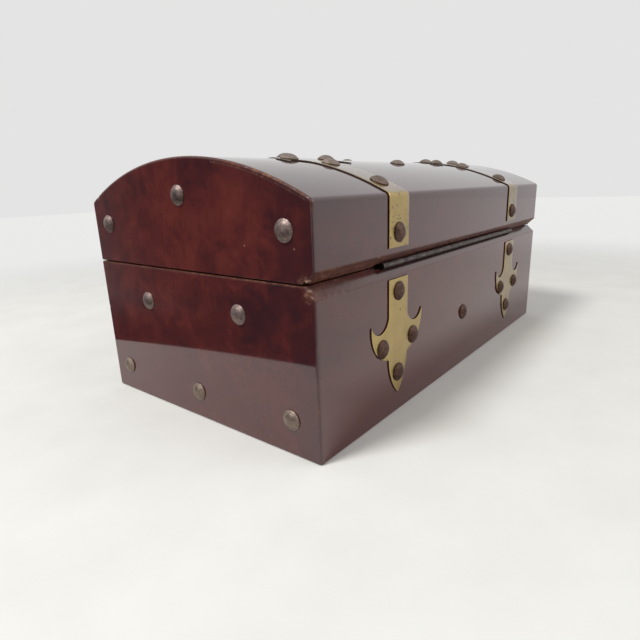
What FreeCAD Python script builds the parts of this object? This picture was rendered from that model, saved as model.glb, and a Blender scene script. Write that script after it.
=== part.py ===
import FreeCAD, Part
import math
import os
from FreeCAD import Placement, Rotation, Vector

# A lacquered wooden box with a domed lid on a piano hinge, brass strap plates and domed tacks.
# The origin is on the ground under the middle of the box: X runs along the box, Y points to the
# back, where the hinge is, and Z points up. All sizes are in millimetres.

# Outside of the box
box_length = 294.0
box_width = 160.0
base_height = 77.3
parting_gap = 0.6
lid_wall_height = 32.5
dome_rise = 19.6
shoulder_radius = 2.5
edge_round = 1.5

# Boards
wall_thickness = 12.0
floor_thickness = 6.0
dome_thickness = 8.0
corner_lip = 5.0
floor_lip = 5.0
floor_clearance = 0.2
glue_line = 0.1

# Piano hinge in the V-groove along the back
groove_chamfer = 5.0
hinge_length = 188.0
knuckle_count = 17
knuckle_gap = 0.3
barrel_radius = 1.45
barrel_clearance = 0.3
pin_radius = 0.8
pin_clearance = 0.05
leaf_thickness = 1.0
leaf_inset = 1.2
leaf_clearance = 0.1
recess_end_room = 4.0

# Hinge screws
screw_count = 5
screw_length = 9.0
screw_radius = 0.9
screw_head_radius = 1.8
screw_clearance = 0.05
screw_end_margin = 12.0

# Brass strap plates, with hooked arms and a leaf-shaped tip
strap_end_inset = 63.7
strap_width = 18.4
strap_thickness = 0.6
strap_bedding = 0.05
plate_thickness = 0.6
arm_reach = 24.4
ornament_length = 40.5
strap_tip_past_crown = 3.8
strap_groove_margin = 2.9
plate_groove_margin = 1.4
plate_foot_margin = 10.8

# Points of the ornament, as shares of half the strap's width, the arms' reach and the ornament's length
leaf_bulge_width_share = 0.75
leaf_bulge_length_share = 0.24
leaf_shoulder_share = 0.50
arm_bulge_reach_share = 0.845
arm_bulge_length_share = 0.66
notch_reach_share = 0.48
notch_length_share = 0.87
stem_root_share = 1.02

# Domed tacks
tack_head_radius = 4.75
tack_head_height = 2.5
tack_rim_height = 0.4
tack_shank_radius = 0.9
tack_shank_length = 7.0
tack_point_length = 2.0
tack_clearance = 0.05

# Places of the tacks on the straps and plates
plate_end_tack_inset = 6.4
strap_end_tack_inset = 6.9
shoulder_tack_inset = 10.7
stem_tack_reach = 44.8
arm_tack_reach_share = 0.61
plate_arm_tack_length_share = 0.68
plate_tip_tack_length_share = 0.28
strap_arm_tack_length_share = 0.75
strap_tip_tack_length_share = 0.35

# Places of the tacks on the ends, the long sides and the dome
lid_end_tack_inset = 14.4
lid_end_tack_height = 20.8
lid_end_top_tack_drop = 17.0
end_front_tack_inset = 14.4
end_front_tack_height = 15.7
end_back_tack_inset = 15.9
end_back_tack_height = 17.2
end_middle_tack_height = 14.6
end_high_front_tack_offset = 36.0
end_high_front_tack_drop = 18.7
end_high_back_tack_offset = 35.2
end_high_back_tack_drop = 16.6
side_tack_height = 35.0
dome_tack_rear_reach = 32.0
dome_tack_pitch = 40.0

# How far a cutting body runs past the face that it cuts
overrun = 3.0

# Heights and places that follow from the sizes above
half_length = box_length / 2
half_width = box_width / 2
half_strap = strap_width / 2
strap_offset = half_length - strap_end_inset
lid_bottom = base_height + parting_gap
spring_height = lid_bottom + lid_wall_height
crown_height = spring_height + dome_rise
dome_radius = (half_width ** 2 + dome_rise ** 2) / (2 * dome_rise)
dome_centre = crown_height - dome_radius
board_end = half_length - corner_lip
inner_length = half_length - wall_thickness
inner_width = half_width - wall_thickness
hinge_z = base_height + parting_gap / 2
groove_edge = half_width - groove_chamfer
hinge_y = groove_edge + math.sqrt(2) * (barrel_radius + barrel_clearance) - parting_gap / 2
knuckle_pitch = hinge_length / knuckle_count
leaf_inner_edge = inner_width + leaf_inset
leaf_outer_edge = hinge_y - barrel_radius - barrel_clearance
screw_y = (leaf_inner_edge + groove_edge) / 2
strap_foot = lid_bottom + groove_chamfer + strap_groove_margin
plate_top = base_height - groove_chamfer - plate_groove_margin

X_AXIS = Vector(1, 0, 0)
Y_AXIS = Vector(0, 1, 0)
Z_AXIS = Vector(0, 0, 1)
CENTRE = Vector(0, 0, 0)


# Helpers for solids

def block(x_low, x_high, y_low, y_high, z_low, z_high):
    corner = Vector(x_low, y_low, z_low)
    return Part.makeBox(x_high - x_low, y_high - y_low, z_high - z_low, corner)


def rod(radius, start, end):
    run = end - start
    return Part.makeCylinder(radius, run.Length, start, run)


def mirrored(shape):
    return shape.mirror(CENTRE, X_AXIS)


def mirrored_places(places):
    return [Placement(Vector(-p.Base.x, p.Base.y, p.Base.z), flipped(p.Rotation)) for p in places]


def flipped(rotation):
    outward = rotation.multVec(Z_AXIS)
    return Rotation(Z_AXIS, Vector(-outward.x, outward.y, outward.z))


# Domed tacks: a cap with a thin rim on a pointed shank, seated with the rim on the surface

def tack_head():
    cap = tack_head_height - tack_rim_height
    sphere = (tack_head_radius ** 2 + cap ** 2) / (2 * cap)
    half_angle = math.asin(tack_head_radius / sphere) / 2
    rim = Vector(tack_head_radius, 0, tack_rim_height)
    top = Vector(0, 0, tack_head_height)
    across = sphere * math.sin(half_angle)
    middle = Vector(across, 0, tack_head_height - sphere + sphere * math.cos(half_angle))
    edge = Vector(tack_head_radius, 0, 0)
    lines = [
        Part.makeLine(CENTRE, edge),
        Part.makeLine(edge, rim),
        Part.Arc(rim, middle, top).toShape(),
        Part.makeLine(top, CENTRE),
    ]
    return Part.Face(Part.Wire(lines)).revolve(CENTRE, Z_AXIS, 360)


def tack():
    straight = tack_shank_length - tack_point_length
    shank = rod(tack_shank_radius, CENTRE, Vector(0, 0, -straight))
    point = Part.makeCone(tack_shank_radius, 0, tack_point_length, Vector(0, 0, -straight), -Z_AXIS)
    return tack_head().fuse([shank, point]).removeSplitter()


def tacks(places):
    model = tack()
    return Part.makeCompound([model.transformed(place.toMatrix(), True) for place in places])


def drilled(board, places):
    depth = tack_shank_length + tack_clearance
    start = Vector(0, 0, strap_thickness)
    hole = rod(tack_shank_radius + tack_clearance, start, Vector(0, 0, -depth))
    return board.cut([hole.transformed(place.toMatrix(), True) for place in places])


def seat(point, outward):
    return Placement(point, Rotation(Z_AXIS, outward))


def end_seat(y, z):
    return seat(Vector(half_length, y, z), X_AXIS)


def dome_seat(x, y, height):
    lean = math.asin(y / dome_radius)
    outward = Vector(0, math.sin(lean), math.cos(lean))
    return seat(Vector(x, 0, dome_centre) + outward * (dome_radius + height), outward)


def ornament_tack_points(arm_length_share, tip_length_share):
    arm = arm_tack_reach_share * arm_reach
    arm_up = arm_length_share * ornament_length
    return [(-arm, arm_up), (arm, arm_up), (0, tip_length_share * ornament_length)]


def base_plate_seats():
    face = half_width + plate_thickness
    points = ornament_tack_points(plate_arm_tack_length_share, plate_tip_tack_length_share)
    points = [(x, plate_foot_margin + up) for x, up in points]
    points.append((0, plate_top - plate_end_tack_inset))
    return [seat(Vector(strap_offset + x, face, z), Y_AXIS) for x, z in points]


def lid_strap_seats():
    points = ornament_tack_points(strap_arm_tack_length_share, strap_tip_tack_length_share)
    points.append((0, stem_tack_reach))
    points = [(x, up - strap_tip_past_crown) for x, up in points]
    points.append((0, half_width - shoulder_tack_inset))
    seats = [dome_seat(strap_offset + x, y, strap_thickness) for x, y in points]
    wall_point = Vector(strap_offset, half_width + strap_thickness, strap_foot + strap_end_tack_inset)
    return seats + [seat(wall_point, Y_AXIS)]


base_end_seats = [
    end_seat(end_front_tack_inset - half_width, end_front_tack_height),
    end_seat(0, end_middle_tack_height),
    end_seat(half_width - end_back_tack_inset, end_back_tack_height),
    end_seat(-end_high_front_tack_offset, base_height - end_high_front_tack_drop),
    end_seat(end_high_back_tack_offset, base_height - end_high_back_tack_drop),
]
lid_end_seats = [
    end_seat(lid_end_tack_inset - half_width, lid_bottom + lid_end_tack_height),
    end_seat(0, crown_height - lid_end_top_tack_drop),
    end_seat(half_width - lid_end_tack_inset, lid_bottom + lid_end_tack_height),
]
back_seat = seat(Vector(0, half_width, side_tack_height), Y_AXIS)
front_seat = seat(Vector(0, -half_width, side_tack_height), -Y_AXIS)
dome_rear_seat = dome_seat(0, dome_tack_rear_reach, 0)
dome_crown_seat = dome_seat(0, dome_tack_rear_reach - dome_tack_pitch, 0)
dome_front_seat = dome_seat(0, dome_tack_rear_reach - 2 * dome_tack_pitch, 0)
dome_seats = [dome_rear_seat, dome_crown_seat, dome_front_seat]

base_right_seats = base_end_seats + base_plate_seats()
base_seats = base_right_seats + mirrored_places(base_right_seats) + [back_seat, front_seat]
lid_right_seats = lid_end_seats + lid_strap_seats()
lid_seats = lid_right_seats + mirrored_places(lid_right_seats) + dome_seats


# Outer forms of the base and the lid, before they are divided into boards

def groove(parting, up):
    """The 45 degree chamfer along the back edge, on the base with up -1 and on the lid with up 1."""
    inner = Vector(-half_length - overrun, groove_edge - overrun, parting - up * overrun)
    outer = Vector(-half_length - overrun, half_width + overrun, parting - up * overrun)
    far = Vector(-half_length - overrun, half_width + overrun, parting + up * (groove_chamfer + overrun))
    face = Part.Face(Part.makePolygon([inner, outer, far, inner]))
    return face.extrude(X_AXIS * (box_length + 2 * overrun))


def base_form():
    form = block(-half_length, half_length, -half_width, half_width, 0, base_height)
    rounded = [edge for edge in form.Edges if edge.BoundBox.ZMin < base_height / 2]
    return form.makeFillet(edge_round, rounded).cut(groove(base_height, -1))


def lid_section(offset, foot):
    """The arched section of the lid, grown outwards by the offset, from the foot's height upwards."""
    wall = half_width + offset
    round_radius = shoulder_radius + offset
    round_y = half_width - shoulder_radius
    round_z = dome_centre + math.sqrt((dome_radius - shoulder_radius) ** 2 - round_y ** 2)
    lean = math.atan2(round_y, round_z - dome_centre)
    mid_lean = (lean + math.pi / 2) / 2
    crown = Vector(0, 0, dome_centre + dome_radius + offset)

    def on_round(side, angle):
        y = round_y + round_radius * math.sin(angle)
        return Vector(0, side * y, round_z + round_radius * math.cos(angle))

    back_foot = Vector(0, wall, foot)
    front_foot = Vector(0, -wall, foot)
    lines = [
        Part.makeLine(front_foot, on_round(-1, math.pi / 2)),
        Part.Arc(on_round(-1, math.pi / 2), on_round(-1, mid_lean), on_round(-1, lean)).toShape(),
        Part.Arc(on_round(-1, lean), crown, on_round(1, lean)).toShape(),
        Part.Arc(on_round(1, lean), on_round(1, mid_lean), on_round(1, math.pi / 2)).toShape(),
        Part.makeLine(on_round(1, math.pi / 2), back_foot),
        Part.makeLine(back_foot, front_foot),
    ]
    return Part.Face(Part.Wire(lines))


def lid_form():
    form = lid_section(0, lid_bottom).extrude(X_AXIS * box_length)
    form.translate(Vector(-half_length, 0, 0))
    ends = [edge for edge in form.Edges if edge.BoundBox.XLength < edge_round]
    rounded = [edge for edge in ends if edge.BoundBox.ZMax > lid_bottom + edge_round]
    return form.makeFillet(edge_round, rounded).cut(groove(lid_bottom, 1))


def under_dome(clearance):
    radius = dome_radius - dome_thickness - clearance
    return rod(radius, Vector(-half_length, 0, dome_centre), Vector(half_length, 0, dome_centre))


def long_board_space(side):
    edges = sorted([side * inner_width, side * (half_width + overrun)])
    return block(-board_end, board_end, edges[0], edges[1], -overrun, crown_height + overrun)


def end_board_space():
    y_reach = half_width + overrun
    return block(inner_length, half_length + overrun, -y_reach, y_reach, -overrun, crown_height + overrun)


def inside_lip_space():
    y_reach = half_width + overrun
    return block(-board_end, board_end, -y_reach, y_reach, -overrun, crown_height + overrun)


def floor_space(clearance, low):
    x_reach = half_length - floor_lip - clearance
    y_reach = half_width - floor_lip - clearance
    return block(-x_reach, x_reach, -y_reach, y_reach, low, floor_thickness)


# Boards of the base: the ends lap over the long walls, and the floor lies in a rebate all round

def base_wall(side):
    wall = base_form().common(long_board_space(side)).cut(floor_space(0, -overrun))
    return drilled(wall, base_seats)


def base_back_wall():
    wall = base_wall(1).cut(leaf_recess(base_height - leaf_thickness, base_height + overrun))
    return wall.cut(screws(base_height, -1, screw_clearance))


def base_end():
    end = base_form().common(end_board_space())
    end = end.cut([long_board_space(1), long_board_space(-1), floor_space(0, -overrun)])
    return drilled(end, base_seats)


def base_floor():
    return floor_space(floor_clearance, 0)


# Boards of the lid: the arched ends lap over the rails and over the ends of the dome panel

def lid_dome():
    panel = lid_form().common(inside_lip_space()).cut(under_dome(0))
    return drilled(panel, lid_seats)


def lid_rail(side):
    rail = lid_form().common(long_board_space(side)).common(under_dome(glue_line))
    return drilled(rail, lid_seats)


def lid_back_rail():
    rail = lid_rail(1).cut(leaf_recess(lid_bottom - overrun, lid_bottom + leaf_thickness))
    return rail.cut(screws(lid_bottom, 1, screw_clearance))


def lid_end():
    slab = lid_form().common(end_board_space())
    lip = slab.cut(inside_lip_space())
    tongue = slab.common(inside_lip_space()).common(under_dome(glue_line))
    tongue = tongue.cut([long_board_space(1), long_board_space(-1)])
    return drilled(lip.fuse(tongue).removeSplitter(), lid_seats)


# Piano hinge: two leaves with interleaved knuckles on one pin, let into the rims and screwed down

def leaf_recess(low, high):
    x_reach = hinge_length / 2 + recess_end_room
    return block(-x_reach, x_reach, leaf_inner_edge - leaf_clearance, half_width, low, high)


def screw(clearance):
    cone = screw_head_radius - screw_radius
    head = Part.makeCone(screw_head_radius + clearance, screw_radius + clearance, cone, CENTRE, -Z_AXIS)
    shank = rod(screw_radius + clearance, CENTRE, Vector(0, 0, -screw_length - clearance))
    return head.fuse(shank).removeSplitter()


def screws(rim, up, clearance):
    """Countersunk screws flush with a leaf's outer face, driven down with up -1 and up with up 1."""
    reach = hinge_length / 2 - screw_end_margin
    places = [reach * (2 * i / (screw_count - 1) - 1) for i in range(screw_count)]
    seats = [seat(Vector(x, screw_y, rim), Vector(0, 0, -up)) for x in places]
    model = screw(clearance)
    return Part.makeCompound([model.transformed(place.toMatrix(), True) for place in seats])


def hinge_leaf(rim, up, first):
    low, high = sorted([rim, rim + up * leaf_thickness])
    leaf = block(-hinge_length / 2, hinge_length / 2, leaf_inner_edge, leaf_outer_edge, low, high)
    pieces = []
    for i in range(first, knuckle_count, 2):
        start = -hinge_length / 2 + i * knuckle_pitch + knuckle_gap / 2
        end = start + knuckle_pitch - knuckle_gap
        pieces.append(block(start, end, leaf_outer_edge, hinge_y, low, high))
        pieces.append(rod(barrel_radius, Vector(start, hinge_y, hinge_z), Vector(end, hinge_y, hinge_z)))
    bore_reach = Vector(hinge_length / 2 + overrun, 0, 0)
    axis = Vector(0, hinge_y, hinge_z)
    bore = rod(pin_radius + pin_clearance, axis - bore_reach, axis + bore_reach)
    leaf = leaf.fuse(pieces).cut(bore)
    return leaf.cut(screws(rim, up, screw_clearance)).removeSplitter()


def hinge_pin():
    reach = hinge_length / 2 - knuckle_gap / 2
    return rod(pin_radius, Vector(-reach, hinge_y, hinge_z), Vector(reach, hinge_y, hinge_z))


# Brass strap plates: a straight stem that ends in two hooked arms and a leaf

def ornament(stem_end):
    """The flat outline, with the leaf's tip at the origin and the stem running along +Y to its end."""
    shoulder = leaf_shoulder_share * ornament_length
    stem_root = stem_root_share * ornament_length
    notch = half_strap + notch_reach_share * (arm_reach - half_strap)
    bulge_x = leaf_bulge_width_share * half_strap
    bulge_y = leaf_bulge_length_share * ornament_length
    arm_x = arm_bulge_reach_share * arm_reach
    arm_y = arm_bulge_length_share * ornament_length
    notch_y = notch_length_share * ornament_length
    lines = []
    for side in (-1, 1):
        leaf_foot = Vector(side * half_strap, shoulder, 0)
        hook = Vector(side * arm_reach, ornament_length, 0)
        root = Vector(side * half_strap, stem_root, 0)
        top = Vector(side * half_strap, stem_end, 0)
        lines.append(Part.Arc(CENTRE, Vector(side * bulge_x, bulge_y, 0), leaf_foot).toShape())
        lines.append(Part.Arc(leaf_foot, Vector(side * arm_x, arm_y, 0), hook).toShape())
        lines.append(Part.Arc(hook, Vector(side * notch, notch_y, 0), root).toShape())
        lines.append(Part.makeLine(root, top))
    lines.append(Part.makeLine(Vector(-half_strap, stem_end, 0), Vector(half_strap, stem_end, 0)))
    return Part.Face(Part.Wire(Part.__sortEdges__(lines)))


def base_plate():
    outline = ornament(plate_top - plate_foot_margin)
    outline.rotate(CENTRE, X_AXIS, 90)
    outline.translate(Vector(strap_offset, half_width, plate_foot_margin))
    return drilled(outline.extrude(Y_AXIS * plate_thickness), base_seats)


def lid_strap():
    outline = ornament(half_width + strap_tip_past_crown + strap_thickness + overrun)
    outline.translate(Vector(strap_offset, -strap_tip_past_crown, 0))
    column = outline.extrude(Z_AXIS * (crown_height + strap_thickness + overrun))
    skin = lid_section(strap_thickness, strap_foot).cut(lid_section(strap_bedding, strap_foot))
    skin = skin.extrude(X_AXIS * 2 * arm_reach)
    skin.translate(Vector(strap_offset - arm_reach, 0, 0))
    return drilled(column.common(skin), lid_seats)


# Every piece of the box by its node's name

right_pieces = {
    "base_{}_end": base_end(),
    "base_{}_end_tacks": tacks(base_end_seats),
    "base_plate_{}": base_plate(),
    "base_plate_{}_tacks": tacks(base_plate_seats()),
    "lid_{}_end": lid_end(),
    "lid_{}_end_tacks": tacks(lid_end_seats),
    "lid_strap_{}": lid_strap(),
    "lid_strap_{}_tacks": tacks(lid_strap_seats()),
}
pieces = {
    "base_floor": base_floor(),
    "base_front_wall": base_wall(-1),
    "base_back_wall": base_back_wall(),
    "base_back_tack": tacks([back_seat]),
    "base_front_tack": tacks([front_seat]),
    "hinge_base_leaf": hinge_leaf(base_height, -1, 0),
    "hinge_pin": hinge_pin(),
    "hinge_base_screws": screws(base_height, -1, 0),
    "lid_dome": lid_dome(),
    "lid_front_rail": lid_rail(-1),
    "lid_back_rail": lid_back_rail(),
    "lid_top_rear_tack": tacks([dome_rear_seat]),
    "lid_top_crown_tack": tacks([dome_crown_seat]),
    "lid_top_front_tack": tacks([dome_front_seat]),
    "hinge_lid_leaf": hinge_leaf(lid_bottom, 1, 1),
    "hinge_lid_screws": screws(lid_bottom, 1, 0),
}
for pattern, piece in right_pieces.items():
    pieces[pattern.format("right")] = piece
    pieces[pattern.format("left")] = mirrored(piece)

os.makedirs("parts", exist_ok=True)
for node, piece in pieces.items():
    piece.exportStep("parts/" + node + ".step")
    print(node, len(piece.Solids), "solids", round(piece.Volume, 1), "mm3 valid", piece.isValid())
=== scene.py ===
import math

import bmesh
import bpy
import numpy as np
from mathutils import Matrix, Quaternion, Vector


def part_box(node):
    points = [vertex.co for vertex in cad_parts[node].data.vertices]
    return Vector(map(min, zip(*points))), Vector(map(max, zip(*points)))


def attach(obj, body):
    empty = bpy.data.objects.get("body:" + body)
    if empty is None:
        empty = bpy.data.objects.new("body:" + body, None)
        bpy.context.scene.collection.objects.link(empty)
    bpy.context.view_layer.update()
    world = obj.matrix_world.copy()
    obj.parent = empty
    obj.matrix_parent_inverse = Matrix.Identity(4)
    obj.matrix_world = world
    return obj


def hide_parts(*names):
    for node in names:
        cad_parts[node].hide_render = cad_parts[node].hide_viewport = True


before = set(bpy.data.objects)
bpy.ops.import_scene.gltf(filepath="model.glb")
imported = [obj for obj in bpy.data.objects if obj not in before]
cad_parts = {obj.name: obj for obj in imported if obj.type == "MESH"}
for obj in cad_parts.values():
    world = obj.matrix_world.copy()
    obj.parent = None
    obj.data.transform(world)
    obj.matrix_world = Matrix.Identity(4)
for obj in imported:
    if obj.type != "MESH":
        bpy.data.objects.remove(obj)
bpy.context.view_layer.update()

mm = 0.001

# Floor of the base
# A thin plain board let into a rebate round the foot of the walls and glued there.
# It is bare wood, sanded and stained, with straight grain along the box.


class Wire:
    """One value in a shader tree: arithmetic on it adds Math nodes to that tree."""

    def __init__(self, socket):
        self.socket = socket
        self.tree = socket.id_data

    def node(self, kind, settings, inputs, output=0):
        """Adds a node: its settings first, then the values or links of its sockets; gives one output."""
        node = self.tree.nodes.new("ShaderNode" + kind)
        for key, value in settings.items():
            if key == "stops":
                while len(node.color_ramp.elements) < len(value):
                    node.color_ramp.elements.new(0.5)
                for element, (place, colour) in zip(node.color_ramp.elements, value):
                    element.position = place
                    element.color = (*colour, 1.0)
            else:
                setattr(node, key, value)
        for key, value in inputs.items():
            if isinstance(value, Wire):
                self.tree.links.new(value.socket, node.inputs[key])
            else:
                node.inputs[key].default_value = value
        return Wire(node.outputs[output])

    def math(self, operation, first, second=0.0):
        return self.node("Math", {"operation": operation}, {0: first, 1: second})

    def __add__(self, other):
        return self.math("ADD", self, other)

    def __radd__(self, other):
        return self.math("ADD", other, self)

    def __sub__(self, other):
        return self.math("SUBTRACT", self, other)

    def __rsub__(self, other):
        return self.math("SUBTRACT", other, self)

    def __mul__(self, other):
        return self.math("MULTIPLY", self, other)

    def __rmul__(self, other):
        return self.math("MULTIPLY", other, self)

    def __abs__(self):
        return self.math("ABSOLUTE", self)

    def least(self, other):
        return self.math("MINIMUM", self, other)

    def most(self, other):
        return self.math("MAXIMUM", self, other)

    def axis(self, index):
        return self.node("SeparateXYZ", {}, {0: self}, index)

    def scaled(self, factors):
        return self.node("VectorMath", {"operation": "MULTIPLY"}, {0: self, 1: factors})

    def distance(self, point):
        return self.node("VectorMath", {"operation": "DISTANCE"}, {0: self, 1: point}, 1)

    def noise(self, scale, detail=3.0, rough=0.5, distortion=0.0):
        return self.node("TexNoise", {}, {"Vector": self, "Scale": scale, "Detail": detail,
                                          "Roughness": rough, "Distortion": distortion})

    def step(self, low, high):
        """A smooth step from 0 at low to 1 at high."""
        return self.node("MapRange", {"interpolation_type": "SMOOTHSTEP"},
                         {"Value": self, "From Min": low, "From Max": high})

    def ramp(self, *stops):
        return self.node("ValToRGB", {"stops": stops}, {0: self})

    def blend(self, first, second):
        """The first colour where this value is 0 and the second where it is 1."""
        colours = [c if isinstance(c, Wire) else (*c, 1.0) for c in (first, second)]
        return self.node("Mix", {"data_type": "RGBA"}, {0: self, 6: colours[0], 7: colours[1]}, 2)

    def bump(self, strength, distance):
        return self.node("Bump", {}, {"Height": self, "Strength": strength, "Distance": distance})


def finish(name, **constants):
    """A new material: gives it, its Object coordinates, and a function that joins wires to its shader."""
    material = bpy.data.materials.new(name)
    material.use_nodes = True
    tree = material.node_tree
    shader = tree.nodes["Principled BSDF"]
    for key, value in constants.items():
        shader.inputs[key.replace("_", " ")].default_value = value
    place = Wire(tree.nodes.new("ShaderNodeTexCoord").outputs["Object"])

    def join(**wires):
        for key, wire in wires.items():
            tree.links.new(wire.socket, shader.inputs[key.replace("_", " ")])
        return Wire(shader.outputs[0])

    return material, place, join


def wood_grain(place, along):
    """Streaks drawn out along one axis: fine noise squeezed that way, and a coarser one for broad bands."""
    squeeze = [1.0, 1.0, 1.0]
    squeeze[along] = 0.06
    streaks = place.scaled(squeeze).noise(900.0, 4.0, 0.6, 0.4)
    bands = place.scaled(squeeze).noise(130.0, 2.0, 0.5, 1.0)
    return streaks * 0.5 + bands * 0.5


def dress(node, material):
    """Puts a material on a node of the frame whose shape stays as it is."""
    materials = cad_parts[node].data.materials
    materials.clear()
    materials.append(material)


floor_wood, place, join = finish("floor wood")
grain = wood_grain(place, 0)
join(Base_Color=grain.ramp((0.30, (0.070, 0.030, 0.016)), (0.50, (0.150, 0.072, 0.036)),
                           (0.72, (0.230, 0.120, 0.062))),
     Roughness=grain * 0.25 + 0.42,
     Normal=grain.bump(0.25, 0.4 * mm))
dress("base_floor", floor_wood)


# Long walls and ends of the base
# Solid boards, 12 mm thick, lapped and glued at the corners, with a chamfer along the upper back edge.
# They carry a very glossy mottled red-brown lacquer, rubbed thin along the edges and knocked off some corners.

end_low, end_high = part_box("base_right_end")
wall_low, wall_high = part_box("base_back_wall")
half_length, half_width, base_height = end_high
inner_length = end_low.x
board_end = wall_high.x
inner_width = wall_low.y
floor_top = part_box("base_floor")[1].z
floor_edge = half_width - (half_length - board_end)
groove_chamfer = 5.0 * mm
groove_edge = half_width - groove_chamfer
recess_reach = 98.0 * mm
recess_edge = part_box("hinge_base_leaf")[0].y - 0.1 * mm
recess_wall = recess_edge + 0.1 * mm
recess_depth = 1.0 * mm
edge_round = 0.9 * mm
rim_round = 0.7 * mm
inner_round = 0.2 * mm
groove_round = 1.2 * mm
flat_rest = 0.4 * mm


def rounded(corners, radii, steps=5):
    """A closed outline: an arc at each corner, tangent to its two sides.

    A point on each side close to the arc keeps the flat between two corners flat when shaded.
    """
    corners = np.array(corners, float)
    radii = np.array(radii, float)
    before = np.roll(corners, 1, axis=0) - corners
    after = np.roll(corners, -1, axis=0) - corners
    before /= np.linalg.norm(before, axis=1, keepdims=True)
    after /= np.linalg.norm(after, axis=1, keepdims=True)
    half_angle = np.arccos(np.clip((before * after).sum(1), -1, 1)) / 2
    middle = before + after
    middle /= np.maximum(np.linalg.norm(middle, axis=1, keepdims=True), 1e-9)
    across = after - before
    across /= np.linalg.norm(across, axis=1, keepdims=True)
    centres = corners + middle * (radii / np.sin(half_angle))[:, None]
    sweep = np.linspace(-1, 1, steps) * (math.pi / 2 - half_angle)[:, None]
    arcs = centres[:, None] + radii[:, None, None] * (
        np.sin(sweep)[..., None] * across[:, None] - np.cos(sweep)[..., None] * middle[:, None])
    rest = (radii / np.tan(half_angle) + flat_rest)[:, None]
    rests = (corners + before * rest)[:, None], (corners + after * rest)[:, None]
    return np.concatenate([rests[0], arcs, rests[1]], axis=1).reshape(-1, 2)


def at_x(outline, x):
    """Lifts an outline of (y, z) points to the plane at x."""
    return np.column_stack([np.full(len(outline), x), outline])


def loft(rings):
    """A closed skin: rings of equal count joined by quads, with a flat face on the first and last ring."""
    rings = np.array(rings, float)
    count, around = rings.shape[:2]
    index = np.arange(count * around).reshape(count, around)
    turned = np.roll(index, -1, axis=1)
    quads = np.stack([index[:-1], turned[:-1], turned[1:], index[1:]], axis=-1).reshape(-1, 4)
    return rings.reshape(-1, 3), quads.tolist() + [index[0].tolist(), index[-1].tolist()]


weld = 0.002 * mm


def piece(name, vertices, faces, materials, body, slot, nodes, sharp=40.0, outward=None):
    """A mesh piece at the origin: doubles merged, faces turned outwards, shaded smooth between sharp edges.

    An open sheet gives the direction that its upper side faces; a closed skin needs none.
    """
    mesh = bpy.data.meshes.new(name)
    mesh.from_pydata(np.asarray(vertices).tolist(), [], faces)
    shape = bmesh.new()
    shape.from_mesh(mesh)
    bmesh.ops.remove_doubles(shape, verts=shape.verts, dist=weld)
    bmesh.ops.dissolve_degenerate(shape, edges=shape.edges, dist=weld)
    bmesh.ops.recalc_face_normals(shape, faces=shape.faces)
    shape.to_mesh(mesh)
    normals = np.empty(len(mesh.polygons) * 3, np.float32)
    mesh.polygons.foreach_get("normal", normals)
    if outward and (normals.reshape(-1, 3) @ outward).sum() < 0:
        bmesh.ops.reverse_faces(shape, faces=shape.faces)
        shape.to_mesh(mesh)
    shape.free()
    mesh.polygons.foreach_set("use_smooth", np.ones(len(mesh.polygons), bool))
    mesh.set_sharp_from_angle(angle=math.radians(sharp))
    for material in materials:
        mesh.materials.append(material)
    thing = bpy.data.objects.new(name, mesh)
    bpy.context.scene.collection.objects.link(thing)
    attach(thing, body)
    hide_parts(*nodes)
    return thing


smoke = [(-77.8, 85.4, -0.05), (-35.2, 116.2, -0.05), (12.0, 120.6, -0.05), (42.0, 108.0, -0.02),
         (64.0, 114.0, -0.06), (66.0, 87.0, -0.08), (74.0, 100.0, -0.05), (15.0, 62.0, -0.04),
         (70.0, 73.0, -0.05), (44.0, 56.0, -0.06), (72.0, 46.0, -0.03), (52.0, 96.0, -0.03),
         (-62.0, 100.0, -0.03), (52.0, 71.0, -0.04), (61.0, 58.0, -0.04), (63.0, 50.0, -0.03)]
glow = [(-14.6, 114.8, 0.055), (36.0, 121.0, 0.045), (6.0, 97.0, 0.06), (24.0, 104.0, 0.06), (60.0, 52.0, 0.02),
        (36.0, 88.0, 0.02), (-48.0, 94.0, 0.02), (-15.5, 72.0, 0.05), (-52.0, 58.0, 0.03), (44.0, 109.0, 0.035),
        (55.0, 106.0, 0.045), (72.0, 98.0, 0.035), (72.0, 84.0, 0.04)]
cloud_core = 4 * mm
cloud_reach = 24 * mm


def away_from(place, point, stretch):
    """Distance from a point, with each axis drawn out by its stretch."""
    return place.scaled(stretch).distance(tuple(np.multiply(point, stretch)))


def mottled(place, shade):
    """The lacquer's figure: smoky purple-brown clouds over warm red, flecks and fine upright streaks.

    The largest clouds, dark smoke and red glow, have their places on the near end, as (y, z) and an amount; the
    colour is blended towards a dark purple-brown by shade, which holds painted shade under the hinge and beside the
    straps.
    """
    swirl = place.noise(38.0, 4.0, 0.62, 1.4)
    flecks = place.noise(120.0, 2.5, 0.55, 0.8)
    streaks = place.scaled((1.0, 1.0, 0.12)).noise(520.0, 2.0, 0.5, 0.4)
    figure = swirl * 0.40 + flecks * 0.22 + streaks * 0.08 - 0.35
    calm = abs(place.axis(0)).step(half_length - 3 * mm, half_length) * 0.5 + 0.5
    figure = figure * calm * (place.axis(2).step(22.0 * mm, 48.0 * mm) * 0.6 + 0.4) + 0.51
    for across, up, amount in smoke + glow:
        away = away_from(place, (half_length, across * mm, up * mm), (0.3, 1.0, 1.0))
        figure = figure + (1 - away.step(cloud_core, cloud_reach)) * amount
    warm = figure.ramp((0.38, (0.038, 0.0110, 0.0145)), (0.47, (0.072, 0.0145, 0.0155)),
                       (0.55, (0.104, 0.0205, 0.0180)), (0.66, (0.140, 0.0290, 0.0225)))
    return shade.blend(warm, (0.034, 0.0105, 0.0135))


lacquer_index = 1.74


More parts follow.
